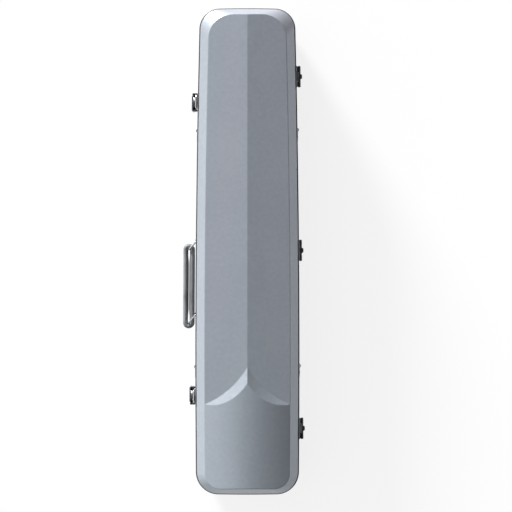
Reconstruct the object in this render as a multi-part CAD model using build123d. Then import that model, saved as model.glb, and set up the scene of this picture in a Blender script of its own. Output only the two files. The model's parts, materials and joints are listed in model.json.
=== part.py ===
from build123d import *
import math
import os

# Hard case for an erhu, in millimetres. It lies on its back with the lid up.
# X runs across the case, with the hinges at +X and the handle at -X.
# Y runs along the case, with the narrow end at +Y. Z is up through the lid.
# The origin is the middle of the flat back that the case rests on.

os.makedirs("parts", exist_ok=True)

# Plan outline over the rims
case_length = 860.0
narrow_half_width = 84.0
wide_half_width = 90.8
side_bow = 4.0
end_bow = 1.5
narrow_corner_radius = 37.0
wide_corner_radius = 40.0

# Heights
parting_height = 80.0
base_collar_height = 12.0
lid_collar_height = 14.0
back_bevel_height = 16.0
back_bevel_run = 12.0
lid_wall_height = 28.0
lid_bevel_rise = 18.0
ridge_rise = 4.0
crown_rise = 9.0
wall_draft = 3.0
shell_wall = 3.0
margin = 1.0

# Lid's bevel and top panel
side_bevel_run = 14.6
narrow_bevel_run = 9.7
wide_bevel_run = 8.0
top_narrow_radius = 48.0
top_wide_radius = 24.0

# Spearhead step across the top panel
spear_tip_y = -203.0
spear_arc_x = 159.2
spear_arc_radius = 177.0
spear_ramp_slope = 0.36

# Rims
rim_proud = 2.0
rim_web = 1.6
rim_height = 9.0
rim_inner_flange = 1.5
rim_gap = 0.8
lip_rise = 2.4
lip_clearance = 0.4
seal_width = 1.6
seal_depth = 0.8
seal_clearance = 0.3

# Fasteners
rivet_radius = 1.5
rivet_head_radius = 3.0
rivet_head_height = 1.3
rivet_tail = 0.2

half_length = case_length / 2
shell_inset = rim_proud
inner_inset = shell_inset + shell_wall
flange_inset = inner_inset + rim_inner_flange
draft_slope = math.tan(math.radians(wall_draft))
base_rim_top = parting_height - rim_gap / 2
lid_rim_bottom = parting_height + rim_gap / 2
base_shell_top = base_rim_top - rim_web
base_rim_bottom = base_shell_top - rim_height
lid_web_bottom = lid_rim_bottom + lip_rise - lip_clearance
lid_shell_bottom = lid_web_bottom + rim_web
lid_rim_top = lid_shell_bottom + rim_height
base_collar_bottom = parting_height - base_collar_height
lid_collar_top = parting_height + lid_collar_height
lid_shoulder_height = parting_height + lid_wall_height
roof_edge_height = lid_shoulder_height + lid_bevel_rise


def side_arc():
    """Centre x, centre y and radius of the arc that the +X side follows."""
    middle_x = (narrow_half_width + wide_half_width) / 2
    chord_x = narrow_half_width - wide_half_width
    chord = math.hypot(chord_x, case_length)
    radius = (chord**2 / 4 + side_bow**2) / (2 * side_bow)
    reach = radius - side_bow
    return (middle_x - reach * case_length / chord, reach * chord_x / chord, radius)


def half_width(y, inset=0.0):
    """Half the width of the case at a place along it, drawn in by inset."""
    centre_x, centre_y, radius = side_arc()
    return centre_x + math.sqrt((radius - inset) ** 2 - (y - centre_y) ** 2)


def plan(z, inset, narrow_inset=None, wide_inset=None, narrow_radius=None, wide_radius=None):
    """Face with the case's outline, drawn in by inset, at height z."""
    narrow_inset = inset if narrow_inset is None else narrow_inset
    wide_inset = inset if wide_inset is None else wide_inset
    narrow_radius = narrow_corner_radius - inset if narrow_radius is None else narrow_radius
    wide_radius = wide_corner_radius - inset if wide_radius is None else wide_radius
    top = half_length - end_bow - narrow_inset
    bottom = wide_inset + end_bow - half_length
    top_x = half_width(top, inset)
    bottom_x = half_width(bottom, inset)
    middle_x = half_width(0, inset)
    with BuildSketch(Plane.XY.offset(z)) as sketch:
        with BuildLine():
            ThreePointArc((top_x, top), (middle_x, 0), (bottom_x, bottom))
            ThreePointArc((bottom_x, bottom), (0, bottom - end_bow), (-bottom_x, bottom))
            ThreePointArc((-bottom_x, bottom), (-middle_x, 0), (-top_x, top))
            ThreePointArc((-top_x, top), (0, top + end_bow), (top_x, top))
        make_face()
        fillet(sketch.vertices().filter_by_position(Axis.Y, top - margin, top + margin), narrow_radius)
        fillet(sketch.vertices().filter_by_position(Axis.Y, bottom - margin, bottom + margin),
               wide_radius)
    return sketch.sketch


def slab(inset, bottom, top):
    """Upright solid with the case's outline between two heights."""
    return extrude(plan(bottom, inset), top - bottom)


def band(outer, inner, bottom, top):
    """Ring that follows the outline between two insets and two heights."""
    return slab(outer, bottom, top) - slab(inner, bottom, top)


def base_form(skin):
    """Solid inside the base's outer faces, drawn in by skin."""
    inset = shell_inset + skin
    drop = base_collar_bottom - back_bevel_height
    wall_inset = inset + drop * draft_slope
    collar = slab(inset, base_collar_bottom, base_shell_top)
    wall = loft([plan(back_bevel_height, wall_inset), plan(base_collar_bottom, inset)], ruled=True)
    back_run = back_bevel_run * (back_bevel_height - skin) / back_bevel_height
    back = loft([plan(skin, wall_inset + back_run), plan(back_bevel_height, wall_inset)], ruled=True)
    return collar + wall + back


def roof_form(skin):
    """Solid under the ridged roof and the crowned panel, lowered by skin."""
    edge = roof_edge_height - skin
    reach = wide_half_width
    panel_half = half_width(0, shell_inset + side_bevel_run)
    slope = ridge_rise / panel_half
    with BuildSketch(Plane.XZ) as ridge_profile:
        with BuildLine():
            Polyline((-reach, 0), (-reach, edge - slope * (reach - panel_half)),
                     (0, edge + ridge_rise), (reach, edge - slope * (reach - panel_half)),
                     (reach, 0), close=True)
        make_face()
    with BuildSketch(Plane.XZ) as crown_profile:
        with BuildLine():
            ThreePointArc((-panel_half, edge), (0, edge + crown_rise), (panel_half, edge))
            Polyline((panel_half, edge), (panel_half, 0), (-panel_half, 0), (-panel_half, edge))
        make_face()
    ridge = extrude(ridge_profile.sketch, half_length, both=True)
    # The crowned panel is cut from well above the spearhead's tip
    crown_start = spear_tip_y + spear_arc_radius / 3
    crown = Pos(0, crown_start, 0) * extrude(crown_profile.sketch, half_length + crown_start)
    arc_y = spear_tip_y + math.sqrt(spear_arc_radius**2 - spear_arc_x**2)
    tip_height = edge + ridge_rise
    cone_low = tip_height - ridge_rise - skin
    cone_high = edge + crown_rise + ridge_rise
    for side in (-1, 1):
        low_radius = spear_arc_radius + (cone_low - tip_height) / spear_ramp_slope
        high_radius = spear_arc_radius + (cone_high - tip_height) / spear_ramp_slope
        cone = Cone(low_radius, high_radius, cone_high - cone_low,
                    align=(Align.CENTER, Align.CENTER, Align.MIN))
        crown -= Pos(side * spear_arc_x, arc_y, cone_low) * cone
    return ridge + crown


def lid_form(skin):
    """Solid inside the lid's outer faces, drawn in by skin."""
    inset = shell_inset + skin
    shoulder_inset = inset + (lid_shoulder_height - lid_collar_top) * draft_slope
    top = roof_edge_height + crown_rise + margin
    growth = (top - lid_shoulder_height) / (roof_edge_height - lid_shoulder_height)
    wall_run = shoulder_inset - inset
    side_run = (side_bevel_run - wall_run) * growth
    narrow_run = (narrow_bevel_run - wall_run) * growth
    wide_run = (wide_bevel_run - wall_run) * growth
    collar = slab(inset, lid_shell_bottom, lid_collar_top)
    wall = loft([plan(lid_collar_top, inset), plan(lid_shoulder_height, shoulder_inset)], ruled=True)
    cap_plan = plan(top, shoulder_inset + side_run, shoulder_inset + narrow_run,
                    shoulder_inset + wide_run, top_narrow_radius - skin, top_wide_radius - skin)
    bevel = loft([plan(lid_shoulder_height, shoulder_inset), cap_plan], ruled=True)
    return collar + wall + (bevel & roof_form(skin))


def save(name, shape):
    """Write one named piece."""
    export_step(shape, f"parts/{name}.step")


def wall_place(side, y, height=0.0):
    """Place on the collar's face: local X points out, Y along the wall, Z up."""
    centre_x, centre_y, radius = side_arc()
    x = half_width(y, shell_inset)
    turn = math.degrees(math.asin((y - centre_y) / (radius - shell_inset)))
    if side > 0:
        return Location((x, y, height), (0, 0, turn))
    return Location((-x, y, height), (0, 0, 180 - turn))


def wall_slope(z):
    """How far the drafted base wall lies inside the collar's face at a height."""
    return max(0.0, base_collar_bottom - z) * draft_slope


def lid_slope(z):
    """How far the drafted lid wall lies inside the collar's face at a height."""
    return max(0.0, z - lid_collar_top) * draft_slope


def plate_profile(points, width):
    """Solid of a side profile of (out, up) points, centred along the wall."""
    with BuildSketch(Plane.XZ) as sketch:
        with BuildLine():
            Polyline(*points, close=True)
        make_face()
    return extrude(sketch.sketch, width / 2, both=True)


def along(radius, length, out, up, shift=0.0):
    """Cylinder that lies along the wall, at (out, up)."""
    return Pos(out, shift, up) * Rot(90, 0, 0) * Cylinder(radius, length)


def rivet(reach):
    """Domed rivet that points outwards along X, with its head's seat at the origin."""
    shank_length = reach + rivet_tail
    dome_radius = (rivet_head_radius**2 + rivet_head_height**2) / (2 * rivet_head_height)
    with BuildSketch(Plane.XZ) as half:
        with BuildLine():
            Line((0, -shank_length), (rivet_radius, -shank_length))
            Line((rivet_radius, -shank_length), (rivet_radius, 0))
            Line((rivet_radius, 0), (rivet_head_radius, 0))
            RadiusArc((rivet_head_radius, 0), (0, rivet_head_height), -dome_radius)
            Line((0, rivet_head_height), (0, -shank_length))
        make_face()
    return Rot(0, 90, 0) * revolve(half.sketch, Axis.Z)


def rivet_hole(reach):
    """Hole that a rivet's shank fills, from outside its plate to inside the shell."""
    length = reach + rivet_tail + rivet_head_height
    return Rot(0, -90, 0) * Cylinder(rivet_radius, 2 * length)


base_solid = base_form(0)
lid_solid = lid_form(0)
base_shell = base_solid - base_form(shell_wall)
lid_shell = lid_solid - lid_form(shell_wall)

# Base rim: a channel over the shell's edge, with a low lip that the lid closes round
base_rim = (
    band(0, flange_inset, base_shell_top, base_rim_top)
    + band(0, shell_inset, base_rim_bottom, base_shell_top)
    + band(inner_inset, flange_inset, base_rim_bottom, base_rim_top + lip_rise)
)
seal_inset = shell_inset + (shell_wall - seal_width) / 2
seal_inner = seal_inset + seal_width
seal_bottom = base_rim_top - seal_depth
seal_top = lid_rim_bottom - seal_clearance
base_rim -= band(seal_inset, seal_inner, seal_bottom, base_rim_top)
rim_seal = band(seal_inset, seal_inner, seal_bottom, seal_top)

# Lid rim: the same channel upside down, cut back where the base's lip stands
lid_rim = (
    band(0, inner_inset - lip_clearance, lid_rim_bottom, lid_web_bottom)
    + band(0, flange_inset, lid_web_bottom, lid_shell_bottom)
    + band(0, shell_inset, lid_shell_bottom, lid_rim_top)
    + band(inner_inset, flange_inset, lid_shell_bottom, lid_rim_top)
)

# Hinges: one straight pin line outside the bowed side
hinge_places = (310.0, 2.0, -313.5)
hinge_width = 36.0
hinge_knuckle_radius = 2.6
hinge_knuckle_clearance = 0.3
hinge_middle_length = 15.6
hinge_pin_radius = 1.2
hinge_pin_clearance = 0.05
hinge_pin_head = 0.9
hinge_plate = 1.6
hinge_base_leaf_height = 24.0
hinge_base_rivet_rise = 8.0
hinge_lid_leaf_drop = 2.0
hinge_lid_rivet_drop = 4.3
hinge_rim_clearance = 0.2
hinge_neck_overlap = 2.0
hinge_stop_width = 9.0
hinge_stop_out = 2.6
hinge_stop_thick = 2.4
hinge_stop_angle = 20.0
hinge_rivet_spacing = 22.0
hinge_range = 105.0

wall_ends = [wall_place(1, hinge_places[0]), wall_place(1, hinge_places[2])]
wall_middle = wall_place(1, hinge_places[1])
chord_x = wall_ends[1].position.X - wall_ends[0].position.X
chord_y = wall_ends[1].position.Y - wall_ends[0].position.Y
hinge_turn = math.degrees(math.atan(-chord_x / chord_y))
chord_middle_x = wall_ends[0].position.X + chord_x * (hinge_places[1] - hinge_places[0]) / chord_y
bulge = wall_middle.position.X - chord_middle_x
hinge_line_out = bulge + rim_proud + hinge_rim_clearance + hinge_knuckle_radius
hinge_axis_x = wall_ends[0].position.X + hinge_line_out


def hinge_place(y):
    """Place on the pin line at a hinge: local Y runs along the pin."""
    x = hinge_axis_x + chord_x * (y - hinge_places[0]) / chord_y
    return Location((x, y, parting_height), (0, 0, hinge_turn))


def base_rivet_place(wall, shift, height, plate):
    """Place of a rivet's seat on a plate of given thickness on the drafted base wall."""
    return wall * Pos(plate - wall_slope(height), shift, height) * Rot(0, wall_draft, 0)


def lid_rivet_place(wall, shift, height, plate):
    """Place of a rivet's seat on a plate of given thickness on the drafted lid wall."""
    return wall * Pos(plate - lid_slope(height), shift, height) * Rot(0, -wall_draft, 0)


def base_plate_points(bottom, top, plate):
    """Side profile of a plate on the base wall that steps out over the rim."""
    step = rim_proud + plate
    step_start = base_rim_bottom - rim_proud - margin
    return [(-seat_depth, bottom), (plate - wall_slope(bottom), bottom),
            (plate - wall_slope(step_start), step_start), (step, base_rim_bottom - margin),
            (step, top), (-seat_depth, top)]


def lid_plate_points(bottom, top, plate):
    """Side profile of a plate on the lid wall that steps out over the rim."""
    step = rim_proud + plate
    step_end = lid_rim_top + rim_proud + margin
    return [(-seat_depth, bottom), (step, bottom), (step, lid_rim_top + margin),
            (plate - lid_slope(step_end), step_end), (plate - lid_slope(top), top),
            (-seat_depth, top)]


seat_depth = 6.0
base_block = base_solid + slab(0, base_rim_bottom, base_rim_top)
lid_block = lid_solid + slab(0, lid_rim_bottom, lid_rim_top)
base_rivets = []
lid_rivets = []
base_holes = []
lid_holes = []


def fix_to_base(wall, plate, shifts, heights):
    """Rivets and their holes for a plate on the base wall."""
    reach = plate + shell_wall
    holes = []
    for shift in shifts:
        for height in heights:
            place = base_rivet_place(wall, shift, height, plate)
            base_rivets.append(place * rivet(reach))
            holes.append(place * rivet_hole(reach))
    base_holes.extend(holes)
    return holes


def fix_to_lid(wall, plate, shifts, heights):
    """Rivets and their holes for a plate on the lid wall."""
    reach = plate + shell_wall
    holes = []
    for shift in shifts:
        for height in heights:
            place = lid_rivet_place(wall, shift, height, plate)
            lid_rivets.append(place * rivet(reach))
            holes.append(place * rivet_hole(reach))
    lid_holes.extend(holes)
    return holes


hinge_outer_length = (hinge_width - hinge_middle_length) / 2 - hinge_knuckle_clearance
hinge_outer_shift = (hinge_width - hinge_outer_length) / 2
hinge_stop_reach = hinge_knuckle_radius + hinge_stop_out
hinge_base_leaf_top = parting_height - hinge_stop_reach - 2 * hinge_knuckle_clearance
hinge_lid_leaf_low = parting_height + hinge_stop_reach


def hinge_pin():
    """Pin with a flat head at each end, along local Y."""
    pin = along(hinge_pin_radius, hinge_width, 0, 0)
    head_radius = (hinge_pin_radius + hinge_knuckle_radius) / 2
    for side in (-1, 1):
        pin += along(head_radius, hinge_pin_head, 0, 0, side * (hinge_width + hinge_pin_head) / 2)
    return pin


def hinge_base_leaf(wall, pin_line, axis_out):
    """Leaf on the base: a plate, two necks and the two outer knuckles."""
    bottom = base_rim_bottom - hinge_base_leaf_height
    step = rim_proud + hinge_plate
    leaf = wall * plate_profile(base_plate_points(bottom, hinge_base_leaf_top, hinge_plate), hinge_width)
    neck = plate_profile(
        [(0, hinge_base_leaf_top - hinge_neck_overlap), (step, hinge_base_leaf_top - hinge_neck_overlap),
         (step, hinge_base_leaf_top), (axis_out, parting_height - hinge_knuckle_radius),
         (axis_out, parting_height), (0, base_rim_top)], hinge_outer_length)
    knuckle = along(hinge_knuckle_radius, hinge_outer_length, 0, 0)
    for side in (-1, 1):
        shift = side * hinge_outer_shift
        leaf += wall * Pos(0, shift, 0) * neck
        leaf += pin_line * Pos(0, shift, 0) * knuckle
    leaf -= base_block
    leaf -= pin_line * hinge_pin()
    shifts = (-hinge_rivet_spacing / 2, hinge_rivet_spacing / 2)
    return leaf - fix_to_base(wall, hinge_plate, shifts, [bottom + hinge_base_rivet_rise])


def hinge_lid_leaf(wall, pin_line, axis_out):
    """Leaf on the lid: a plate, a neck and the middle knuckle with its stop lug."""
    top = lid_shoulder_height - hinge_lid_leaf_drop
    step = rim_proud + hinge_plate
    leaf = wall * plate_profile(lid_plate_points(hinge_lid_leaf_low, top, hinge_plate), hinge_width)
    neck = plate_profile(
        [(0, lid_rim_bottom), (axis_out, parting_height), (axis_out, parting_height + hinge_knuckle_radius),
         (step, hinge_lid_leaf_low), (step, hinge_lid_leaf_low + hinge_neck_overlap),
         (0, hinge_lid_leaf_low + hinge_neck_overlap)], hinge_middle_length)
    leaf += wall * neck
    leaf += pin_line * along(hinge_knuckle_radius, hinge_middle_length, 0, 0)
    lug = Box(hinge_stop_reach, hinge_stop_width, hinge_stop_thick,
              align=(Align.MIN, Align.CENTER, Align.CENTER))
    lug = fillet(lug.edges().filter_by(Axis.Z).group_by(Axis.X)[-1], hinge_stop_out)
    leaf += pin_line * Rot(0, -hinge_stop_angle, 0) * lug
    leaf -= lid_block
    leaf -= pin_line * along(hinge_pin_radius + hinge_pin_clearance, 2 * hinge_width, 0, 0)
    shifts = (-hinge_rivet_spacing / 2, hinge_rivet_spacing / 2)
    return leaf - fix_to_lid(wall, hinge_plate, shifts, [top - hinge_lid_rivet_drop])


for number, y in enumerate(hinge_places, start=1):
    wall = wall_place(1, y)
    pin_line = hinge_place(y)
    axis_out = pin_line.position.X - wall.position.X
    save(f"hinge_base_leaf_{number}", hinge_base_leaf(wall, pin_line, axis_out))
    save(f"hinge_lid_leaf_{number}", hinge_lid_leaf(wall, pin_line, axis_out))
    save(f"hinge_pin_{number}", pin_line * hinge_pin())

# Latches: draw latches on the left wall, each a lever with a wire bail
latch_places = (265.0, -256.0)
latch_width = 32.0
latch_wall = 1.4
latch_plate = 1.5
latch_plate_length = 26.0
latch_rivet_edge = 5.0
latch_pivot_out = 6.5
latch_pivot_drop = 10.0
latch_pivot_radius = 1.5
latch_ear_radius = 3.0
latch_ear_clearance = 0.4
latch_face_out = 12.2
latch_lever_in = 3.0
latch_lever_tail = 20.0
latch_lever_head = 2.5
latch_lip_out = 1.8
latch_bar_out = 4.95
latch_bar_drop = 12.0
latch_slot_clearance = 0.4
latch_lug_width = 3.0
latch_lug_spacing = 11.0
bail_wire_radius = 1.2
bail_clearance = 0.05
bail_half_width = 10.8
bail_corner = 3.5
keeper_plate = 1.2
keeper_rim_gap = 0.5
keeper_shoulder_gap = 1.5
keeper_rivet_drop = 3.2
keeper_bead_drop = 11.0
keeper_gap = 0.35
keeper_bead_height = 2.6
latch_range = 100.0
bail_ratio = -0.83

latch_flange_shift = latch_width / 2 - latch_wall / 2
latch_ear_shift = latch_flange_shift - latch_wall - latch_ear_clearance
latch_pivot_height = parting_height - latch_pivot_drop
latch_head_height = latch_pivot_height + latch_lever_head
latch_bar_height = latch_pivot_height - latch_bar_drop
latch_lever_bottom = latch_bar_height - latch_lever_tail
latch_plate_bottom = base_collar_bottom - latch_plate_length
bail_height = lid_shoulder_height - keeper_bead_drop - latch_bar_height


def latch_base_plate(wall):
    """Plate on the base wall with an ear each side for the lever's pivots."""
    profile = [(-seat_depth, latch_plate_bottom),
               (latch_plate - wall_slope(latch_plate_bottom), latch_plate_bottom),
               (latch_plate, base_collar_bottom), (-seat_depth, base_collar_bottom)]
    plate = plate_profile(profile, 2 * latch_ear_shift + latch_wall)
    ear = plate_profile(
        [(0, latch_bar_height), (latch_plate, latch_bar_height),
         (latch_pivot_out + latch_ear_radius, latch_pivot_height - latch_ear_radius),
         (latch_pivot_out + latch_ear_radius, latch_pivot_height),
         (latch_pivot_out, latch_pivot_height + latch_ear_radius),
         (latch_lever_in, latch_pivot_height), (latch_plate, base_collar_bottom),
         (0, base_collar_bottom)], latch_wall)
    for side in (-1, 1):
        plate += Pos(0, side * latch_ear_shift, 0) * ear
    plate -= along(latch_pivot_radius, latch_width, latch_pivot_out, latch_pivot_height)
    plate = wall * plate - base_block
    heights = (latch_plate_bottom + latch_rivet_edge, latch_bar_height - latch_rivet_edge)
    return plate - fix_to_base(wall, latch_plate, (0,), heights)


def latch_lever():
    """Pressed lever with two flanges, a finger lip, two lugs and a slot for each leg of the bail."""
    face = plate_profile(
        [(latch_face_out - latch_wall, latch_lever_bottom), (latch_face_out, latch_lever_bottom),
         (latch_face_out, latch_head_height), (latch_face_out - latch_wall, latch_head_height)],
        latch_width)
    lip = plate_profile(
        [(latch_face_out - latch_wall, latch_lever_bottom), (latch_face_out, latch_lever_bottom),
         (latch_face_out + latch_lip_out, latch_lever_bottom - latch_lip_out),
         (latch_face_out + latch_lip_out - latch_wall, latch_lever_bottom - latch_lip_out)],
        latch_width - 2 * latch_ear_radius)
    flange = plate_profile(
        [(latch_face_out, latch_lever_bottom), (latch_face_out, latch_head_height),
         (latch_lever_in, latch_head_height), (latch_lever_in, latch_bar_height),
         (latch_face_out - 2 * latch_wall, latch_lever_bottom)], latch_wall)
    lug = plate_profile(
        [(latch_face_out - latch_wall, latch_bar_height + latch_ear_radius),
         (latch_bar_out, latch_bar_height + 2 * latch_pivot_radius - bail_clearance),
         (latch_bar_out - 2 * bail_wire_radius, latch_bar_height),
         (latch_bar_out, latch_bar_height - 2 * latch_pivot_radius + bail_clearance),
         (latch_face_out - latch_wall, latch_bar_height - latch_ear_radius)], latch_lug_width)
    lever = face + lip
    for side in (-1, 1):
        lever += Pos(0, side * latch_flange_shift, 0) * flange
        lever += Pos(0, side * latch_lug_spacing / 2, 0) * lug
    corners = lever.edges().filter_by(Axis.Z).group_by(Axis.X)[-1]
    lever = fillet(corners, latch_wall)
    lever -= along(latch_pivot_radius + bail_clearance, 2 * latch_width,
                   latch_pivot_out, latch_pivot_height)
    lever -= along(bail_wire_radius + bail_clearance, latch_width - 4 * latch_wall,
                   latch_bar_out, latch_bar_height)
    slot_width = 2 * (bail_wire_radius + latch_slot_clearance)
    slot = Box(4 * latch_wall, slot_width, latch_head_height - latch_bar_height + 2 * bail_wire_radius,
               align=(Align.CENTER, Align.CENTER, Align.MIN))
    for side in (-1, 1):
        lever -= Pos(latch_face_out, side * bail_half_width, latch_bar_height - bail_wire_radius) * slot
    return lever


def wire_loop(outline, wire_radius):
    """Closed wire that follows the edge of a flat outline."""
    path = outline.face().outer_wire()
    section = Plane(origin=path @ 0, z_dir=path % 0) * Circle(wire_radius)
    return sweep(section, path=path)


def latch_bail():
    """Wire bail, with its lower bar in the lever's lugs."""
    outline = Plane.YZ * Pos(0, bail_height / 2) * RectangleRounded(
        2 * bail_half_width, bail_height, bail_corner)
    return Pos(latch_bar_out, 0, latch_bar_height) * wire_loop(outline, bail_wire_radius)


def latch_rivets():
    """Two short pivots, each through a flange and an ear."""
    length = 2 * latch_wall + latch_ear_clearance
    shift = (latch_flange_shift + latch_ear_shift) / 2
    parts = [along(latch_pivot_radius, length, latch_pivot_out, latch_pivot_height, side * shift)
             for side in (-1, 1)]
    return Compound(children=parts)


def latch_keeper(wall):
    """Keeper on the lid wall with the bead that the bail's bar closes over."""
    bottom = lid_rim_top + keeper_rim_gap
    top = lid_shoulder_height - keeper_shoulder_gap
    bead_out = latch_bar_out - bail_wire_radius - keeper_gap
    bead_middle = latch_bar_height + bail_height
    bead_top = bead_middle + keeper_bead_height
    profile = [(-seat_depth, bottom), (keeper_plate, bottom),
               (keeper_plate, bead_middle - keeper_bead_height),
               (bead_out, bead_middle - keeper_bead_height / 2),
               (bead_out, bead_middle + keeper_bead_height / 2),
               (keeper_plate - lid_slope(bead_top), bead_top),
               (keeper_plate - lid_slope(top), top), (-seat_depth, top)]
    keeper = wall * plate_profile(profile, latch_width - 4 * latch_wall) - lid_block
    shifts = (-latch_lug_spacing / 2, latch_lug_spacing / 2)
    return keeper - fix_to_lid(wall, keeper_plate, shifts, [top - keeper_rivet_drop])


for number, y in enumerate(latch_places, start=1):
    wall = wall_place(-1, y)
    save(f"latch_plate_{number}", latch_base_plate(wall))
    save(f"latch_lever_{number}", wall * latch_lever())
    save(f"latch_pivots_{number}", wall * latch_rivets())
    save(f"latch_bail_{number}", wall * latch_bail())
    save(f"latch_keeper_{number}", latch_keeper(wall))

# Handle: a padded loop strap that hangs on two wire rings
handle_ring_places = (19.5, -111.0)
handle_height = 46.0
handle_ring_wire = 1.4
handle_ring_length = 21.0
handle_ring_corner = 1.6
handle_rest_angle = 50.0
handle_grip_half = 13.6
handle_grip_layer = 8.8
handle_ring_clearance = 0.2
handle_side_clearance = 0.5
handle_edge_radius = 3.5
saddle_plate = 1.2
saddle_clearance = 0.25
saddle_length = 24.0
saddle_height = 14.0
saddle_loop_height = 11.0

# Shoulder strap fittings: four saddles, each with a D-ring that lies along the wall
strap_places = ((-1, 215.0), (-1, -206.0), (1, 217.0), (1, -204.0))
strap_height = 46.0
strap_ring_wire = 2.0
strap_ring_bar = 24.0
strap_ring_reach = 19.0
strap_range = 170.0


def saddle(wall, height, wire_radius, bar_out):
    """Plate with a hump that holds a ring's bar against the base wall."""
    bore = wire_radius + saddle_clearance
    top = height + saddle_height / 2
    bottom = height - saddle_height / 2
    plate = plate_profile(
        [(-seat_depth, bottom), (saddle_plate - wall_slope(bottom), bottom),
         (saddle_plate - wall_slope(top), top), (-seat_depth, top)], saddle_length)
    plate = fillet(plate.edges().filter_by(Axis.X), saddle_height / 4)
    hump = Pos(bar_out, 0, height) * Cylinder(bore + saddle_plate, saddle_loop_height)
    hump += Pos(0, 0, height) * Box(2 * bar_out, 2 * (bore + saddle_plate), saddle_loop_height)
    slot = Pos(bar_out, 0, height) * Cylinder(bore, saddle_height + 2 * margin)
    slot += Pos(bar_out - seat_depth / 2, 0, height) * Box(seat_depth, 2 * bore, saddle_height + 2 * margin)
    body = wall * (plate + hump - slot) - base_solid
    shift = saddle_length / 2 - rivet_head_radius - margin
    return body - fix_to_base(wall, saddle_plate, (-shift, shift), (height,))


handle_bar_half = handle_grip_half + handle_side_clearance + handle_ring_wire
handle_bar_out = saddle_clearance + handle_ring_wire - wall_slope(handle_height + handle_bar_half)
strap_bar_out = saddle_clearance + strap_ring_wire - wall_slope(strap_height + strap_ring_bar / 2)
handle_bars = [wall_place(-1, y) * Pos(handle_bar_out, 0, handle_height) for y in handle_ring_places]
bar_step = handle_bars[1].position - handle_bars[0].position
handle_turn = math.degrees(math.atan2(-bar_step.X, bar_step.Y))
handle_spacing = math.hypot(bar_step.X, bar_step.Y)
handle_lean = math.radians(handle_rest_angle)
ring_tip = (handle_ring_length * math.cos(handle_lean), handle_ring_length * math.sin(handle_lean))


def handle_frame(number):
    """Place at a handle ring's wall bar: local X points out, Y from the first ring to the second."""
    position = handle_bars[number].position
    return Location((position.X, position.Y, position.Z), (0, 0, handle_turn))


def handle_ring():
    """Rectangular wire ring, lying out along local X from its wall bar."""
    outline = Plane.XZ * Pos(handle_ring_length / 2, 0) * RectangleRounded(
        handle_ring_length, 2 * handle_bar_half, handle_ring_corner)
    return wire_loop(outline, handle_ring_wire)


def handle_grip():
    """Loop strap round the two rings' outer bars, with its middle halfway between them."""
    slot_radius = handle_ring_wire + handle_ring_clearance
    outer = SlotCenterToCenter(handle_spacing, 2 * (slot_radius + handle_grip_layer))
    inner = SlotCenterToCenter(handle_spacing, 2 * slot_radius)
    body = extrude(Plane.XY * Rot(0, 0, 90) * outer, handle_grip_half, both=True)
    ends = body.edges().group_by(Axis.Z)
    body = fillet(ends[0] + ends[-1], handle_edge_radius)
    return body - extrude(Plane.XY * Rot(0, 0, 90) * inner, handle_grip_half, both=True)


for number, y in enumerate(handle_ring_places, start=1):
    save(f"handle_saddle_{number}", saddle(
        wall_place(-1, y), handle_height, handle_ring_wire, handle_bar_out))
    ring = Rot(0, 0, handle_rest_angle) * handle_ring()
    save(f"handle_ring_{number}", handle_frame(number - 1) * ring)
save("handle_grip", handle_frame(0) * Pos(
    ring_tip[0], ring_tip[1] + handle_spacing / 2, 0) * handle_grip())


def strap_ring():
    """D-ring that lies along local Y from its upright bar at the origin."""
    half = strap_ring_bar / 2
    straight = strap_ring_reach - half
    with BuildSketch(Plane.YZ) as outline:
        with BuildLine():
            Line((0, -half), (0, half))
            Line((0, half), (straight, half))
            ThreePointArc((straight, half), (strap_ring_reach, 0), (straight, -half))
            Line((straight, -half), (0, -half))
        make_face()
        fillet(outline.vertices().group_by(Axis.X)[0], 2 * strap_ring_wire)
    return wire_loop(outline.sketch, strap_ring_wire)


for number, (side, y) in enumerate(strap_places, start=1):
    wall = wall_place(side, y)
    save(f"strap_saddle_{number}", saddle(wall, strap_height, strap_ring_wire, strap_bar_out))
    ring = strap_ring() if side < 0 else mirror(strap_ring(), Plane.XZ)
    save(f"strap_ring_{number}", wall * Pos(strap_bar_out, 0, strap_height) * ring)

# Inside the base: a cradle with recesses shaped to the instrument
fit_clearance = 0.4
cradle_drop = 4.0
recess_radius = 10.0
soundbox_width = 135.0
soundbox_length = 100.0
soundbox_middle_y = -345.0
soundbox_floor = 16.0
neck_x = 35.0
neck_width = 32.0
neck_end_y = 388.0
neck_floor = 36.0
pegs_reach_x = -72.0
pegs_low_y = 205.0
pegs_high_y = 315.0
pegs_floor = 30.0
well_low_x = -72.0
well_high_x = 5.0
well_low_y = -60.0
well_high_y = 140.0
well_floor = 31.0
panel_ledge = 6.0
panel_thickness = 5.6
panel_clearance = 0.5
panel_lift = 14.0
tab_width = 14.0
tab_reach = 12.0
tab_thickness = 1.4

# Inside the lid: a soft lining and two turn buttons for the bow
lining_thickness = 6.0
clip_places = (240.0, -240.0)
clip_x = -10.0
clip_reach = 40.0
clip_width = 12.0
clip_thickness = 3.6
clip_drop = 6.0
clip_post_radius = 6.0
clip_spigot_radius = 2.0
clip_head_radius = 3.6
clip_head_thickness = 1.5
clip_clearance = 0.3
clip_bore_clearance = 0.1

cradle_top = parting_height - cradle_drop
clip_height = lid_shoulder_height - clip_drop


def recess(low_x, high_x, low_y, high_y, floor, radius=recess_radius):
    """Round-cornered pocket that is open at the top."""
    outline = Pos((low_x + high_x) / 2, (low_y + high_y) / 2, floor) * RectangleRounded(
        high_x - low_x, high_y - low_y, radius)
    return extrude(outline, parting_height - floor)


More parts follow.
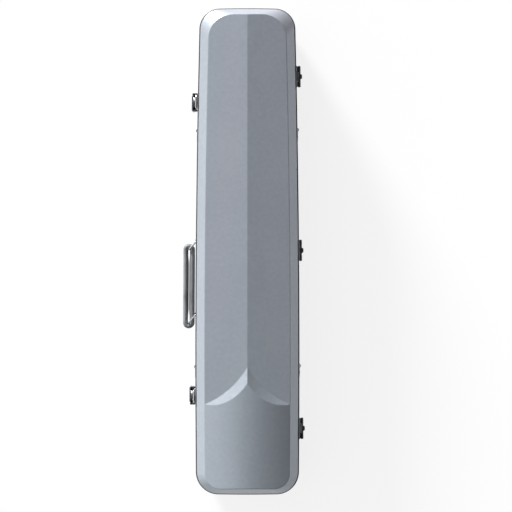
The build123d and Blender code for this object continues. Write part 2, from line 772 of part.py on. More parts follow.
def base_cradle():
    """Padded insert that fills the base round the instrument's recesses."""
    low_top = base_rim_bottom - fit_clearance
    cradle = base_form(shell_wall + fit_clearance) & slab(0, 0, low_top)
    cradle += slab(flange_inset + fit_clearance, low_top - panel_ledge, cradle_top)
    neck_low = neck_x - neck_width / 2
    neck_high = neck_x + neck_width / 2
    cradle -= recess(-soundbox_width / 2, soundbox_width / 2, soundbox_middle_y - soundbox_length / 2,
                     soundbox_middle_y + soundbox_length / 2, soundbox_floor)
    cradle -= recess(neck_low, neck_high, soundbox_middle_y, neck_end_y, neck_floor)
    cradle -= recess(pegs_reach_x, neck_high, pegs_low_y, pegs_high_y, pegs_floor)
    cradle -= recess(well_low_x, well_high_x, well_low_y, well_high_y, well_floor)
    return cradle - recess(well_low_x - panel_ledge, well_high_x + panel_ledge,
                           well_low_y - panel_ledge, well_high_y + panel_ledge,
                           cradle_top - panel_thickness - fit_clearance)


def accessory_lid():
    """Panel that drops into the ledge over the accessory well."""
    reach = panel_ledge - panel_clearance
    outline = Pos((well_low_x + well_high_x) / 2, (well_low_y + well_high_y) / 2,
                  cradle_top - panel_thickness) * RectangleRounded(
        well_high_x - well_low_x + 2 * reach, well_high_y - well_low_y + 2 * reach,
        recess_radius - panel_clearance)
    return extrude(outline, panel_thickness)


def pull_tab():
    """Ribbon loop that stands on the accessory lid."""
    outer = Pos(0, cradle_top) * Circle(tab_reach)
    inner = Pos(0, cradle_top) * Circle(tab_reach - tab_thickness)
    upper = Pos(0, cradle_top + tab_reach / 2) * Rectangle(2 * tab_reach, tab_reach)
    outline = (outer - inner) & upper
    loop = extrude(Plane.XZ * outline, tab_width / 2, both=True)
    return Pos((well_low_x + well_high_x) / 2, (well_low_y + well_high_y) / 2, 0) * loop


lining = lid_form(shell_wall + fit_clearance) - lid_form(shell_wall + fit_clearance + lining_thickness)
lining -= slab(0, lid_rim_bottom, lid_rim_top + fit_clearance)
lid_space = lid_form(shell_wall)
spigot_bottom = clip_height - clip_clearance - clip_head_thickness
for number, y in enumerate(clip_places, start=1):
    place = Pos(clip_x, y, 0)
    lift = clip_height + clip_thickness + clip_clearance
    upright = (Align.CENTER, Align.CENTER, Align.MIN)
    post = Pos(0, 0, lift) * Cylinder(clip_post_radius, parting_height, align=upright)
    spigot_length = lift - spigot_bottom + margin
    post += Pos(0, 0, spigot_bottom) * Cylinder(clip_spigot_radius, spigot_length, align=upright)
    post += Pos(0, 0, spigot_bottom) * Cylinder(clip_head_radius, clip_head_thickness, align=upright)
    save(f"bow_clip_post_{number}", (place * post) & lid_space)
    lining -= place * Pos(0, 0, lift) * Cylinder(
        clip_post_radius + clip_clearance, parting_height, align=upright)
    button = Pos(-clip_reach / 2, 0, clip_height) * SlotCenterToCenter(clip_reach, clip_width)
    button = extrude(button, clip_thickness)
    button -= Pos(0, 0, clip_height) * Cylinder(
        clip_spigot_radius + clip_bore_clearance, clip_thickness, align=upright)
    save(f"bow_clip_{number}", place * button)
save("lid_lining", lining)
save("base_cradle", base_cradle())
save("accessory_lid", accessory_lid())
save("pull_tab", pull_tab())

for hole in base_holes:
    base_shell -= hole
for hole in lid_holes:
    lid_shell -= hole
save("base_shell", base_shell)
save("lid_shell", lid_shell)
save("base_rim", base_rim)
save("lid_rim", lid_rim)
save("rim_seal", rim_seal)
save("base_rivets", Compound(children=base_rivets))
save("lid_rivets", Compound(children=lid_rivets))
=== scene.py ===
import json
import math

import bmesh
import bpy
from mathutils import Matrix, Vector


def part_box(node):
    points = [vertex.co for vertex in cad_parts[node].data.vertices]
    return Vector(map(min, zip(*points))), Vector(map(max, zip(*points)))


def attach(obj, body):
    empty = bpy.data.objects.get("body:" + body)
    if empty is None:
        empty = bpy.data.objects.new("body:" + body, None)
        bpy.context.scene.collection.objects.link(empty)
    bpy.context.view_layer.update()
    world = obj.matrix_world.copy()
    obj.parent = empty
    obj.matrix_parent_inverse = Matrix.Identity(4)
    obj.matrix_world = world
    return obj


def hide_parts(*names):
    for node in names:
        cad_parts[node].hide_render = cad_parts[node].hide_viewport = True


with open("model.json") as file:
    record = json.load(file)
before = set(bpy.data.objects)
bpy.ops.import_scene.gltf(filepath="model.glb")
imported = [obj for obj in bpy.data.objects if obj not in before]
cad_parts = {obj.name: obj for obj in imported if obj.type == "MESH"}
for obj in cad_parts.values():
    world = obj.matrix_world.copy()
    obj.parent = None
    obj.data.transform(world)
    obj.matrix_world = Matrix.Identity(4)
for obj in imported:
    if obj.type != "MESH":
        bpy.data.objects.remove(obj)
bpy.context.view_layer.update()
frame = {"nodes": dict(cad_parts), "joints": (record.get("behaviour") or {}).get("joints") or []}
joints = {joint["name"]: joint for joint in frame["joints"]}

# Camera. The photograph looks straight down on the closed lid from far off,
# with the narrow end at the top of the picture.
FRAME_WIDTH = 0.907
FRAME_MIDDLE = (0.0152, -0.0080)
CAMERA_HEIGHT = 4.6
RIM_HEIGHT = 0.085
SENSOR = 36.0
camera_data = bpy.data.cameras.new("overhead_camera")
camera_data.sensor_width = SENSOR
camera_data.lens = SENSOR * (CAMERA_HEIGHT - RIM_HEIGHT) / FRAME_WIDTH
camera = bpy.data.objects.new("overhead_camera", camera_data)
camera.location = (*FRAME_MIDDLE, CAMERA_HEIGHT)
bpy.context.collection.objects.link(camera)
scene = bpy.context.scene
scene.camera = camera
scene.view_settings.view_transform = "Standard"

# Moulded shells. The base and lid are pressed fibre shells about 3 mm thick, sprayed
# a silver blue-grey metallic lacquer over a fine pebbled skin.
SHELL_PAINT = (0.328, 0.35, 0.392)
SHELL_PAINT_DARK = (0.285, 0.307, 0.348)
SHELL_PAINT_WARM = (0.335, 0.338, 0.380)
SHELL_PAINT_COOL = (0.300, 0.338, 0.365)
SHELL_METAL = 0.55
SHELL_ROUGH = 0.31
SHELL_ROUGH_SPREAD = 0.06
SHELL_EDGE_RADIUS = 0.0022
MOTTLE_SCALE = 150.0
MOTTLE_SHARE = 0.6
DRIFT_SCALE = 9.0
DRIFT_SHARE = 0.4
TINT_SHARE = 0.5
STREAK_SCALE = 7.0
STREAK_STRETCH = (1.0, 0.22, 1.0)
PEBBLE_SCALE = 520.0
PEBBLE_DEPTH = 0.00006


class Wire:
    """A node's output that can be used in sums and products."""

    def __init__(self, nodes, socket):
        self.nodes = nodes
        self.socket = socket

    def _math(self, operation, first, second):
        return self.nodes.node("ShaderNodeMath", {"operation": operation}, {0: first, 1: second})

    def __add__(self, other):
        return self._math("ADD", self, other)

    def __radd__(self, other):
        return self._math("ADD", other, self)

    def __mul__(self, other):
        return self._math("MULTIPLY", self, other)

    def __rmul__(self, other):
        return self._math("MULTIPLY", other, self)

    def above(self, low=0.3, high=0.7):
        """0 below low, 1 above high and a smooth step between."""
        return self.nodes.node("ShaderNodeMapRange", {"interpolation_type": "SMOOTHSTEP"}, {
            "Value": self, "From Min": low, "From Max": high})


class Nodes:
    """An empty node tree that is built up node by node."""

    def __init__(self, tree):
        self.tree = tree
        self.tree.nodes.clear()

    def node(self, kind, settings, values, output=0):
        """Any node: its settings first, then the values or wires of its sockets."""
        made = self.tree.nodes.new(kind)
        for key, value in settings.items():
            setattr(made, key, value)
        for key, value in values.items():
            self.feed(made.inputs[key], value)
        return Wire(self, made.outputs[output])

    def feed(self, socket, value):
        """Give a socket a wire or a plain value."""
        if isinstance(value, Wire):
            self.tree.links.new(value.socket, socket)
        elif socket.type == "RGBA":
            socket.default_value = (*value, 1)
        else:
            socket.default_value = value


class Finish(Nodes):
    """A named material round one principled shader."""

    def __init__(self, name):
        self.material = bpy.data.materials.new(name)
        self.material.use_nodes = True
        super().__init__(self.material.node_tree)
        self.shader = self.tree.nodes.new("ShaderNodeBsdfPrincipled")
        self.output = self.tree.nodes.new("ShaderNodeOutputMaterial")
        self.tree.links.new(self.shader.outputs[0], self.output.inputs[0])

    def set(self, **sockets):
        """Fill the shader's own sockets, named with underscores for spaces."""
        for key, value in sockets.items():
            self.feed(self.shader.inputs[key.replace("_", " ")], value)

    def place(self):
        """The point on the piece, in metres."""
        return self.node("ShaderNodeTexCoord", {}, {}, "Object")

    def stretched(self, scale):
        """The point on the piece, with each axis scaled by itself."""
        return self.node("ShaderNodeMapping", {}, {"Vector": self.place(), "Scale": scale})

    def noise(self, scale, detail=2.0, where=None, rough=0.5):
        """Soft cloudy pattern, 0 to 1."""
        return self.node("ShaderNodeTexNoise", {}, {
            "Vector": where or self.place(), "Scale": scale, "Detail": detail, "Roughness": rough})

    def mix(self, factor, first, second):
        """Colour between two colours."""
        return self.node("ShaderNodeMix", {"data_type": "RGBA"}, {
            0: factor, 6: first, 7: second}, 2)

    def rounded(self, radius):
        """Surface direction with the corners eased over a radius in metres."""
        return self.node("ShaderNodeBevel", {"samples": 6}, {"Radius": radius})

    def bump(self, height, depth, strength, normal=None):
        """Surface direction pushed by a height pattern, depth in metres."""
        values = {"Strength": strength, "Distance": depth, "Height": height}
        if normal:
            values["Normal"] = normal
        return self.node("ShaderNodeBump", {}, values)


def refinish(node, finish):
    """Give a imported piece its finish."""
    packed = frame["nodes"][node]
    packed.data.materials.clear()
    packed.data.materials.append(finish.material)


lacquer = Finish("silver_lacquer")
mottle = lacquer.noise(MOTTLE_SCALE, detail=3.0)
drift = lacquer.noise(DRIFT_SCALE)
pebble = lacquer.noise(PEBBLE_SCALE, rough=0.6)
streak = lacquer.noise(STREAK_SCALE, detail=3.0, where=lacquer.stretched(STREAK_STRETCH))
tint = lacquer.mix(streak.above(low=0.38, high=0.62), SHELL_PAINT_COOL, SHELL_PAINT_WARM)
cloud = (MOTTLE_SHARE * mottle + DRIFT_SHARE * drift).above(low=0.35, high=0.65)
shade = lacquer.mix(cloud, SHELL_PAINT_DARK, SHELL_PAINT)
lacquer.set(
    Base_Color=lacquer.mix(TINT_SHARE, shade, tint),
    Metallic=SHELL_METAL,
    Roughness=SHELL_ROUGH + SHELL_ROUGH_SPREAD * mottle,
    Normal=lacquer.bump(
        pebble, PEBBLE_DEPTH, strength=0.55, normal=lacquer.rounded(SHELL_EDGE_RADIUS)),
)
for node in ("base_shell", "lid_shell"):
    refinish(node, lacquer)

# Rims. Dark anodised aluminium channels that grip the edge of each shell, with a thin
# black rubber strip between them in the base's channel.
RIM_DARK = (0.085, 0.088, 0.094)
RIM_LIGHT = (0.12, 0.124, 0.13)
RIM_METAL = 0.85
RIM_ROUGH = 0.36
RIM_ROUGH_SPREAD = 0.1
RIM_EDGE_RADIUS = 0.0006
BRUSH_SCALE = 60.0
BRUSH_STRETCH = (1.0, 0.08, 6.0)
BRUSH_DEPTH = 0.00003
RUBBER_DARK = (0.014, 0.014, 0.015)
RUBBER_LIGHT = (0.026, 0.026, 0.027)
RUBBER_ROUGH = 0.72
RUBBER_ROUGH_SPREAD = 0.12
RUBBER_GRAIN_SCALE = 900.0
RUBBER_GRAIN_DEPTH = 0.00004

anodised = Finish("dark_anodised_rim")
brushing = anodised.noise(BRUSH_SCALE, detail=3.0, where=anodised.stretched(BRUSH_STRETCH))
anodised.set(
    Base_Color=anodised.mix(brushing.above(), RIM_DARK, RIM_LIGHT),
    Metallic=RIM_METAL,
    Roughness=RIM_ROUGH + RIM_ROUGH_SPREAD * brushing,
    Normal=anodised.bump(
        brushing, BRUSH_DEPTH, strength=0.5, normal=anodised.rounded(RIM_EDGE_RADIUS)),
)
for node in ("base_rim", "lid_rim"):
    refinish(node, anodised)

rubber = Finish("black_rubber")
rubber_grain = rubber.noise(RUBBER_GRAIN_SCALE)
rubber.set(
    Base_Color=rubber.mix(rubber_grain, RUBBER_DARK, RUBBER_LIGHT),
    Roughness=RUBBER_ROUGH + RUBBER_ROUGH_SPREAD * rubber_grain,
    Normal=rubber.bump(rubber_grain, RUBBER_GRAIN_DEPTH, strength=0.6),
)
refinish("rim_seal", rubber)

# Hinges, latch plates, keepers, saddles and rivets. Pressed steel, painted satin black and
# riveted through the walls of the shells. The paint is rubbed thin along the edges and on
# the domes of the rivets.
HARDWARE_NODES = ("hinge_", "latch_plate", "latch_keeper", "latch_pivots", "strap_saddle",
                  "handle_saddle", "base_rivets", "lid_rivets")
HARDWARE_BLACK = (0.020, 0.020, 0.022)
HARDWARE_WORN = (0.085, 0.087, 0.092)
HARDWARE_METAL = 0.35
HARDWARE_ROUGH = 0.34
HARDWARE_ROUGH_SPREAD = 0.16
HARDWARE_COAT = 0.25
HARDWARE_COAT_ROUGH = 0.25
HARDWARE_EDGE_RADIUS = 0.0004
WEAR_START = 0.515
WEAR_FULL = 0.56
SMUDGE_SCALE = 45.0
GRIT_SCALE = 1400.0
GRIT_DEPTH = 0.00002

hardware = Finish("satin_black_steel")
grit = hardware.noise(GRIT_SCALE)
smudge = hardware.noise(SMUDGE_SCALE, detail=3.0)
edges = hardware.node("ShaderNodeNewGeometry", {}, {}, "Pointiness")
worn = edges.above(WEAR_START, WEAR_FULL) * smudge.above(low=0.35, high=0.6)
hardware.set(
    Base_Color=hardware.mix(worn, HARDWARE_BLACK, HARDWARE_WORN),
    Metallic=HARDWARE_METAL,
    Roughness=HARDWARE_ROUGH + HARDWARE_ROUGH_SPREAD * smudge,
    Normal=hardware.bump(
        grit, GRIT_DEPTH, strength=0.5, normal=hardware.rounded(HARDWARE_EDGE_RADIUS)),
    Coat_Weight=HARDWARE_COAT,
    Coat_Roughness=HARDWARE_COAT_ROUGH,
)
for node in frame["nodes"]:
    if node.startswith(HARDWARE_NODES):
        refinish(node, hardware)

# Latch levers. Pressed from steel sheet, finished a shade lighter than their plates and hung
# on pivots in the plates' ears. The head is folded over between the slots for the bail's
# legs, and a sloping back closes the tail. Each fold is (out, up) points from the pivots.
LEVER_DARK = (0.060, 0.062, 0.066)
LEVER_LIGHT = (0.10, 0.103, 0.108)
LEVER_METAL = 0.8
LEVER_ROUGH = 0.30
LEVER_ROUGH_SPREAD = 0.12
LEVER_EDGE_RADIUS = 0.0006
LEVER_SMUDGE_SCALE = 70.0
LEVER_GRIT_SCALE = 1200.0
HEAD_WIDTH = 0.0178
HEAD_FOLD = ((-0.0029, 0.0024), (0.0052, 0.0024), (0.0052, 0.0011), (-0.0029, 0.0011))
BACK_WIDTH = 0.0288
BACK_FOLD = ((0.0046, -0.0316), (0.0031, -0.0318), (-0.0020, -0.0158),
             (-0.0012, -0.0155), (0.0036, -0.0308), (0.0046, -0.0306))
FOLD_EDGE_RADIUS = 0.00025

gunmetal = Finish("gunmetal_lever")
lever_smudge = gunmetal.noise(LEVER_SMUDGE_SCALE, detail=3.0)
lever_grit = gunmetal.noise(LEVER_GRIT_SCALE)
gunmetal.set(
    Base_Color=gunmetal.mix(lever_smudge.above(), LEVER_DARK, LEVER_LIGHT),
    Metallic=LEVER_METAL,
    Roughness=LEVER_ROUGH + LEVER_ROUGH_SPREAD * lever_smudge,
    Normal=gunmetal.bump(
        lever_grit, GRIT_DEPTH, strength=0.4, normal=gunmetal.rounded(LEVER_EDGE_RADIUS)),
)


def folded_sheet(made, pivot, along, out, width, profile):
    """Add a prism of (out, up) points round the pivot, with its width along the wall."""
    sides = []
    for shift in (-width / 2, width / 2):
        start = pivot + along * shift
        sides.append([made.verts.new(start + out * x + Vector((0, 0, z))) for x, z in profile])
    for side in sides:
        made.faces.new(side)
    for k in range(len(profile)):
        other = (k + 1) % len(profile)
        made.faces.new((sides[0][k], sides[0][other], sides[1][other], sides[1][k]))


def outward(along):
    """Level direction at right angles to a line along the wall, on the handle's side."""
    out = along.cross(Vector((0, 0, 1))).normalized()
    return -out if out.x > 0 else out


def smooth_piece(name, made):
    """Object of its own with a finished bmesh, smooth shaded."""
    mesh = bpy.data.meshes.new(name)
    made.to_mesh(mesh)
    made.free()
    mesh.shade_smooth()
    piece = bpy.data.objects.new(name, mesh)
    bpy.context.collection.objects.link(piece)
    return piece


for number in ("1", "2"):
    refinish(f"latch_lever_{number}", gunmetal)
    lever = joints[f"latch_{number}_lever"]
    wall_along = Vector(lever["axis"]).normalized()
    wall_out = outward(wall_along)
    folds = bmesh.new()
    for width, profile in ((HEAD_WIDTH, HEAD_FOLD), (BACK_WIDTH, BACK_FOLD)):
        folded_sheet(folds, Vector(lever["pos_m"]), wall_along, wall_out, width, profile)
    bmesh.ops.recalc_face_normals(folds, faces=folds.faces)
    bmesh.ops.bevel(
        folds, geom=folds.edges, offset=FOLD_EDGE_RADIUS, segments=2, affect="EDGES")
    piece = smooth_piece(f"lever_folds_{number}", folds)
    piece.data.materials.append(gunmetal.material)
    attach(piece, f"latch_lever_{number}")

# Wire rings and bails. Drawn steel wire, bent to shape, welded and bright nickel plated.
# The rings hang in their saddles, and each bail in the lugs of its lever.
NICKEL_DARK = (0.62, 0.62, 0.63)
NICKEL_LIGHT = (0.72, 0.72, 0.72)
NICKEL_ROUGH = 0.16
NICKEL_ROUGH_SPREAD = 0.1
DRAW_SCALE = 220.0
DRAW_DEPTH = 0.00002

nickel = Finish("bright_nickel")
draw_lines = nickel.noise(DRAW_SCALE, detail=3.0)
nickel.set(
    Base_Color=nickel.mix(draw_lines, NICKEL_DARK, NICKEL_LIGHT),
    Metallic=1.0,
    Roughness=NICKEL_ROUGH + NICKEL_ROUGH_SPREAD * draw_lines,
    Normal=nickel.bump(draw_lines, DRAW_DEPTH, strength=0.3),
)
for node in frame["nodes"]:
    if node.startswith(("handle_ring", "latch_bail", "strap_ring")):
        refinish(node, nickel)

# Bow clips. Two turn buttons that hold the bow inside the lid, each on a post that stands
# on the lid's shell, all moulded in black nylon.
NYLON_DARK = (0.018, 0.018, 0.019)
NYLON_LIGHT = (0.032, 0.032, 0.034)
NYLON_ROUGH = 0.42
NYLON_ROUGH_SPREAD = 0.14
NYLON_EDGE_RADIUS = 0.0008
FLOW_SCALE = 180.0
NYLON_GRAIN_SCALE = 1600.0
NYLON_GRAIN_DEPTH = 0.00003

nylon = Finish("black_nylon")
flow = nylon.noise(FLOW_SCALE)
nylon_grain = nylon.noise(NYLON_GRAIN_SCALE)
nylon.set(
    Base_Color=nylon.mix(flow, NYLON_DARK, NYLON_LIGHT),
    Roughness=NYLON_ROUGH + NYLON_ROUGH_SPREAD * flow,
    Normal=nylon.bump(
        nylon_grain, NYLON_GRAIN_DEPTH, strength=0.5, normal=nylon.rounded(NYLON_EDGE_RADIUS)),
)
for node in frame["nodes"]:
    if node.startswith("bow_clip"):
        refinish(node, nylon)

# Handle grip. An endless strap of grey leather over foam, stitched along both edges, that
# runs round the outer bars of the two wire rings.
GRIP_WIDTH = 0.0272
GRIP_LAYER = 0.0088
GRIP_SECTION = 40
GRIP_STEPS = 180
GRIP_SQUARENESS = 4
GRIP_FULLNESS = 0.45
GRIP_SWELL_IN = 0.0011
GRIP_SWELL_START = 0.008
GRIP_SWELL_FULL = 0.026
SEAM_HEIGHT = 0.76
SEAM_WIDTH = 0.07
SEAM_DEPTH = 0.10
LEATHER_DARK = (0.066, 0.070, 0.073)
LEATHER_LIGHT = (0.125, 0.130, 0.134)
LEATHER_ROUGH = 0.50
LEATHER_ROUGH_SPREAD = 0.16
LEATHER_SHEEN = 0.15
RUB_SCALE = 38.0
CREASE_SCALE = 320.0
CREASE_STRETCH = (1.0, 0.35, 1.0)
CELL_SCALE = 1500.0
CELL_SHARE = 0.6
LEATHER_DEPTH = 0.00016
ring_bars = [Vector(joints[name]["pos_m"]) for name in ("handle_swing", "handle_ring_2_swing")]
grip_first = Vector(joints["handle_grip_turn"]["pos_m"])
grip_second = grip_first + ring_bars[1] - ring_bars[0]
grip_along = (grip_second - grip_first).normalized()
grip_out = outward(grip_along)
grip_middle = (grip_first + grip_second) / 2
grip_half = (grip_second - grip_first).length / 2
grip_low, grip_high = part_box("handle_grip")
grip_outer = (grip_high.y - grip_low.y) / 2 - grip_half
grip_line = grip_outer - GRIP_LAYER / 2
grip_loop = 2 * (2 * grip_half + math.pi * grip_line)


def grip_path(share):
    """Point and outward direction on the strap's middle line, share 0 to 1 round the loop."""
    side = 1 if share < 0.5 else -1
    walked = share % 0.5 * grip_loop
    if walked < 2 * grip_half:
        way = grip_out * side
        return grip_middle + grip_along * side * (walked - grip_half) + way * grip_line, way
    angle = (walked - 2 * grip_half) / grip_line
    way = (grip_out * math.cos(angle) + grip_along * math.sin(angle)) * side
    return grip_middle + grip_along * side * grip_half + way * grip_line, way


def grip_half_thickness(height):
    """Half the strap's thickness at a height from -1 to 1 across its width."""
    pinch = SEAM_DEPTH * math.exp(-((abs(height) - SEAM_HEIGHT) / SEAM_WIDTH) ** 2)
    fullness = max(0.0, 1 - abs(height) ** GRIP_SQUARENESS) ** GRIP_FULLNESS
    return GRIP_LAYER / 2 * fullness * (1 - pinch)


def grip_swell(middle):
    """How far the foam swells into the loop, which is nothing near the rings' bars."""
    from_end = grip_half - abs((middle - grip_middle).dot(grip_along))
    share = (from_end - GRIP_SWELL_START) / (GRIP_SWELL_FULL - GRIP_SWELL_START)
    share = min(1.0, max(0.0, share))
    return GRIP_SWELL_IN * share * share * (3 - 2 * share)


def grip_ring(middle, way):
    """Points round the strap's section at one step of its path."""
    swell = grip_swell(middle)
    ring = []
    for k in range(GRIP_SECTION):
        angle = 2 * math.pi * (k + 0.5) / GRIP_SECTION
        height = math.sin(angle)
        out = math.copysign(grip_half_thickness(height), math.cos(angle))
        if out < 0:
            out -= swell * (1 - height * height)
        ring.append(middle + way * out + Vector((0, 0, height * GRIP_WIDTH / 2)))
    return ring


strap = bmesh.new()
rows = []
for step in range(GRIP_STEPS):
    rows.append([strap.verts.new(point) for point in grip_ring(*grip_path(step / GRIP_STEPS))])
for row, following in zip(rows, rows[1:] + rows[:1]):
    for k in range(GRIP_SECTION):
        other = (k + 1) % GRIP_SECTION
        strap.faces.new((row[k], row[other], following[other], following[k]))
bmesh.ops.recalc_face_normals(strap, faces=strap.faces)
grip = smooth_piece("padded_grip", strap)

leather = Finish("grey_leather")
cells = leather.node("ShaderNodeTexVoronoi", {}, {
    "Vector": leather.place(), "Scale": CELL_SCALE})
creases = leather.noise(CREASE_SCALE, detail=4.0, where=leather.stretched(CREASE_STRETCH))
rub = leather.noise(RUB_SCALE)
leather.set(
    Base_Color=leather.mix(rub.above(), LEATHER_DARK, LEATHER_LIGHT),
    Roughness=LEATHER_ROUGH + LEATHER_ROUGH_SPREAD * creases,
    Normal=leather.bump(CELL_SHARE * cells + creases, LEATHER_DEPTH, strength=0.7),
    Sheen_Weight=LEATHER_SHEEN,
)
grip.data.materials.append(leather.material)
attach(grip, "handle_grip")
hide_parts("handle_grip")

# Stitches. Grey waxed thread through both edges of the grip, one stitch at each step of a
# line that follows the strap.
STITCH_SPACING = 0.0042
STITCH_LENGTH = 0.0029
STITCH_RADIUS = 0.00042
STITCH_FLATNESS = 0.8
THREAD_DARK = (0.11, 0.115, 0.12)
THREAD_LIGHT = (0.17, 0.175, 0.18)
THREAD_ROUGH = 0.6
THREAD_ROUGH_SPREAD = 0.1
TWIST_SCALE = 2400.0


class Growth(Nodes):
    """A Geometry Nodes tree with named sizes, which grows on one object's mesh."""

    def __init__(self, name, sizes):
        super().__init__(bpy.data.node_groups.new(name, "GeometryNodeTree"))
        ends = self.tree.interface
        ends.new_socket("Geometry", in_out="INPUT", socket_type="NodeSocketGeometry")
        ends.new_socket("Geometry", in_out="OUTPUT", socket_type="NodeSocketGeometry")
        self.sizes = {}
        for label, value in sizes.items():
            socket = ends.new_socket(label, in_out="INPUT", socket_type="NodeSocketFloat")
            self.sizes[socket.identifier] = value
        self.entry = self.tree.nodes.new("NodeGroupInput")
        self.exit = self.tree.nodes.new("NodeGroupOutput")

    def given(self, label):
        """One of the tree's own inputs."""
        return Wire(self, self.entry.outputs[label])

    def grow(self, instances, finish, owner):
        """Realize the instances, give them their finish and bake them into the owner."""
        real = self.node("GeometryNodeRealizeInstances", {}, {"Geometry": instances})
        painted = self.node("GeometryNodeSetMaterial", {}, {
            "Geometry": real, "Material": finish.material})
        self.tree.links.new(painted.socket, self.exit.inputs[0])
        modifier = owner.modifiers.new("growth", "NODES")
        modifier.node_group = self.tree
        for identifier, value in self.sizes.items():
            modifier[identifier] = value
        deps = bpy.context.evaluated_depsgraph_get()
        grown = bpy.data.meshes.new_from_object(owner.evaluated_get(deps), depsgraph=deps)
        owner.modifiers.remove(modifier)
        owner.data = grown


seam_points = []
seam_ways = []
stitch_count = int(grip_loop / STITCH_SPACING)
for edge in (-1, 1):
    height = edge * SEAM_HEIGHT * GRIP_WIDTH / 2
    for k in range(stitch_count):
        middle, way = grip_path(k / stitch_count)
        surface = middle + way * grip_half_thickness(SEAM_HEIGHT)
        seam_points.append(surface + Vector((0, 0, height)))
        seam_ways.append(way)
seam = bpy.data.meshes.new("stitch_line")
seam.from_pydata(seam_points, [], [])
facing = seam.attributes.new("facing", "FLOAT_VECTOR", "POINT")
for k, way in enumerate(seam_ways):
    facing.data[k].vector = way
stitches = bpy.data.objects.new("grip_stitches", seam)
bpy.context.collection.objects.link(stitches)

thread = Finish("waxed_thread")
twist = thread.noise(TWIST_SCALE)
thread.set(
    Base_Color=thread.mix(twist, THREAD_DARK, THREAD_LIGHT),
    Roughness=THREAD_ROUGH + THREAD_ROUGH_SPREAD * twist,
)

stitching = Growth("stitching", {
    "Stitch length": STITCH_LENGTH, "Stitch radius": STITCH_RADIUS})
radius = stitching.given("Stitch radius")
half_length = stitching.given("Stitch length") * 0.5
stitch_size = stitching.node("ShaderNodeCombineXYZ", {}, {
    "X": radius * STITCH_FLATNESS, "Y": half_length, "Z": radius})
stitch = stitching.node("GeometryNodeMeshUVSphere", {}, {
    "Segments": 8, "Rings": 6, "Radius": 1.0})
stitch = stitching.node("GeometryNodeSetShadeSmooth", {}, {0: stitch})
facing_read = stitching.node("GeometryNodeInputNamedAttribute", {
    "data_type": "FLOAT_VECTOR"}, {"Name": "facing"})
turned = stitching.node("FunctionNodeAlignRotationToVector", {
    "axis": "X", "pivot_axis": "Z"}, {"Vector": facing_read})
scattered = stitching.node("GeometryNodeInstanceOnPoints", {}, {
    "Points": stitching.given("Geometry"), "Instance": stitch, "Rotation": turned,
    "Scale": stitch_size})
stitching.grow(scattered, thread, stitches)
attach(stitches, "handle_grip")

# Padding. Navy plush over foam: the cradle is glued into the base, the lining into the lid,
# and the accessory lid drops into a ledge of the cradle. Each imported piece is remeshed,
# softened and given an uneven pile.
PADDING = (
    ("base_cradle", "base", 0.0032, 5),
    ("lid_lining", "lid", 0.0022, 3),
    ("accessory_lid", "accessory_lid", 0.0014, 5),
)
WELD_DISTANCE = 2e-6
SOFTENING = 0.5
PILE_DIP = 0.00015
PILE_UNEVEN = 0.6
PILE_WAVES = (310, 270, 330)
PILE_WAVE_START = 1.3
PLUSH_DARK = (0.010, 0.018, 0.055)
PLUSH_LIGHT = (0.022, 0.036, 0.095)
PLUSH_ROUGH = 0.82
PLUSH_ROUGH_SPREAD = 0.12
PLUSH_SHEEN = 0.6
PLUSH_SHEEN_ROUGH = 0.4
PILE_SCALE = 1300.0
BRUSHED_SCALE = 28.0
BRUSHED_SHARE = 0.5
PILE_DEPTH = 0.0006


def plush_copy(node, voxel, rounds):
    """Soft-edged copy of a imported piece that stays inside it."""
    source = frame["nodes"][node]
    piece = source.copy()
    piece.data = source.data.copy()
    piece.name = node + "_plush"
    bpy.context.collection.objects.link(piece)
    clean = bmesh.new()
    clean.from_mesh(piece.data)
    bmesh.ops.remove_doubles(clean, verts=clean.verts, dist=WELD_DISTANCE)
    clean.to_mesh(piece.data)
    clean.free()
    remesh = piece.modifiers.new("even", "REMESH")
    remesh.mode = "VOXEL"
    remesh.voxel_size = voxel
    soften = piece.modifiers.new("soften", "SMOOTH")
    soften.factor = SOFTENING
    soften.iterations = rounds
    deps = bpy.context.evaluated_depsgraph_get()
    soft = bpy.data.meshes.new_from_object(piece.evaluated_get(deps), depsgraph=deps)
    piece.modifiers.clear()
    piece.data = soft
    surface = bmesh.new()
    surface.from_mesh(soft)
    surface.normal_update()
    for vert in surface.verts:
        across, along, up = (part * wave for part, wave in zip(vert.co, PILE_WAVES))
        wave = math.sin(across) * math.sin(along + PILE_WAVE_START) * math.sin(up)
        vert.co -= vert.normal * PILE_DIP * (1 + PILE_UNEVEN * wave)
    surface.to_mesh(soft)
    surface.free()
    soft.shade_smooth()
    return piece


plush = Finish("navy_plush")
pile = plush.noise(PILE_SCALE, detail=3.0)
brushed = plush.noise(BRUSHED_SCALE, detail=3.0)
plush.set(
    Base_Color=plush.mix(brushed.above(), PLUSH_DARK, PLUSH_LIGHT),
    Roughness=PLUSH_ROUGH + PLUSH_ROUGH_SPREAD * pile,
    Normal=plush.bump(pile + BRUSHED_SHARE * brushed, PILE_DEPTH, strength=0.8),
    Sheen_Weight=PLUSH_SHEEN,
    Sheen_Roughness=PLUSH_SHEEN_ROUGH,
)
for node, body, voxel, rounds in PADDING:
    soft = plush_copy(node, voxel, rounds)
    soft.data.materials.clear()
    soft.data.materials.append(plush.material)
    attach(soft, body)
    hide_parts(node)

# Pull tab. A loop of woven navy ribbon that stands on the accessory lid, with both of its
# ends fixed to the lid's top.
RIBBON_DARK = (0.012, 0.018, 0.045)
RIBBON_LIGHT = (0.03, 0.042, 0.09)
RIBBON_ROUGH = 0.55
RIBBON_ROUGH_SPREAD = 0.15
WARP_SCALE = 420.0
WEFT_SCALE = 300.0
WEAVE_WANDER = 0.6
WEAVE_DEPTH = 0.00012

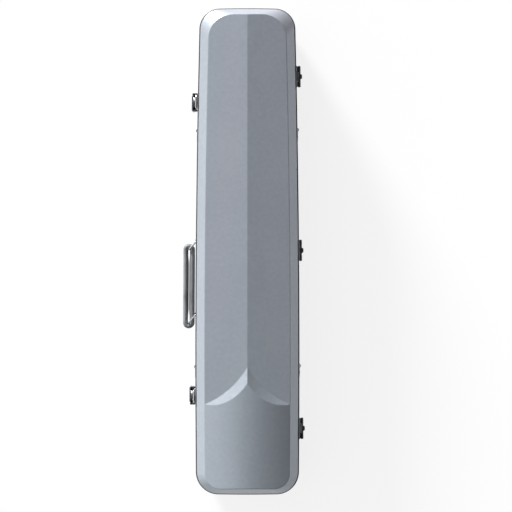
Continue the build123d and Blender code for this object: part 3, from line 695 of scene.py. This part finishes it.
ribbon = Finish("woven_ribbon")
warp, weft = (
    ribbon.node("ShaderNodeTexWave", {"bands_direction": direction}, {
        "Vector": ribbon.place(), "Scale": scale, "Distortion": WEAVE_WANDER})
    for direction, scale in (("Y", WARP_SCALE), ("Z", WEFT_SCALE)))
ribbon.set(
    Base_Color=ribbon.mix(warp, RIBBON_DARK, RIBBON_LIGHT),
    Roughness=RIBBON_ROUGH + RIBBON_ROUGH_SPREAD * weft,
    Normal=ribbon.bump(warp + weft, WEAVE_DEPTH, strength=0.6),
)
refinish("pull_tab", ribbon)

# Floor. A plain pale sheet that the case rests on. The camera sees it white where no
# shadow falls.
FLOOR_SIZE = 12.0
FLOOR_GREY = (0.80, 0.80, 0.80)
FLOOR_ROUGH = 0.9
FLOOR_GLOW = 0.84
WHITE = (1, 1, 1)

bpy.ops.mesh.primitive_plane_add(size=FLOOR_SIZE, location=(0, 0, 0))
floor = bpy.context.active_object
floor.name = "studio_floor"
paper = Finish("studio_paper")
paper.set(Base_Color=FLOOR_GREY, Roughness=FLOOR_ROUGH)
glow = paper.node("ShaderNodeEmission", {}, {"Color": WHITE, "Strength": 1.0})
seen = sum(paper.node("ShaderNodeLightPath", {}, {}, ray)
           for ray in ("Is Camera Ray", "Is Glossy Ray", "Is Transmission Ray"))
shown = paper.node("ShaderNodeMixShader", {}, {
    0: seen * FLOOR_GLOW, 1: Wire(paper, paper.shader.outputs[0]), 2: glow})
paper.tree.links.new(shown.socket, paper.output.inputs[0])
floor.data.materials.append(paper.material)

# Light. A soft sun low on the upper left of the picture, a weak one low on the right, and
# a sky that is bright on the left and dim on the right.
KEY_TURN = 60.0
KEY_HEIGHT = 12.0
KEY_POWER = 11.3
KEY_SPREAD = 14.0
KEY_COLOUR = (1.0, 0.995, 0.985)
FILL_TURN = 185.0
FILL_HEIGHT = 9.0
FILL_POWER = 0.2
FILL_SPREAD = 20.0
FILL_COLOUR = (0.97, 0.985, 1.0)
SKY_COLOUR = (0.93, 0.965, 1.0)
SKY_BRIGHT_SIDE = (-0.95, 0.30, 0.0)
SKY_BRIGHT = 1.05
SKY_DIM = 0.03
SKY_LOW = -0.08
SKY_HIGH = 0.14


def sun(name, turn, height, power, spread, colour):
    """Soft sun: turn is measured clockwise from the left of the picture."""
    data = bpy.data.lights.new(name, "SUN")
    data.energy = power
    data.angle = math.radians(spread)
    data.color = colour
    light = bpy.data.objects.new(name, data)
    turn = math.radians(turn)
    height = math.radians(height)
    level = math.cos(height)
    towards = Vector((-math.cos(turn) * level, math.sin(turn) * level, math.sin(height)))
    light.rotation_euler = towards.to_track_quat("Z", "Y").to_euler()
    bpy.context.collection.objects.link(light)


sun("key", KEY_TURN, KEY_HEIGHT, KEY_POWER, KEY_SPREAD, KEY_COLOUR)
sun("fill", FILL_TURN, FILL_HEIGHT, FILL_POWER, FILL_SPREAD, FILL_COLOUR)

world = bpy.data.worlds.new("studio_sky")
world.use_nodes = True
scene.world = world
sky = Nodes(world.node_tree)
towards_light = sky.node("ShaderNodeVectorMath", {"operation": "DOT_PRODUCT"}, {
    0: sky.node("ShaderNodeTexCoord", {}, {}, "Generated"), 1: SKY_BRIGHT_SIDE}, "Value")
sky_level = SKY_DIM + (SKY_BRIGHT - SKY_DIM) * towards_light.above(SKY_LOW, SKY_HIGH)
lit = sky.node("ShaderNodeBackground", {}, {"Color": SKY_COLOUR, "Strength": sky_level})
white = sky.node("ShaderNodeBackground", {}, {"Color": WHITE, "Strength": 1.0})
camera_ray = sky.node("ShaderNodeLightPath", {}, {}, "Is Camera Ray")
sky_shown = sky.node("ShaderNodeMixShader", {}, {0: camera_ray, 1: lit, 2: white})
sky_out = sky.tree.nodes.new("ShaderNodeOutputWorld")
sky.tree.links.new(sky_shown.socket, sky_out.inputs["Surface"])
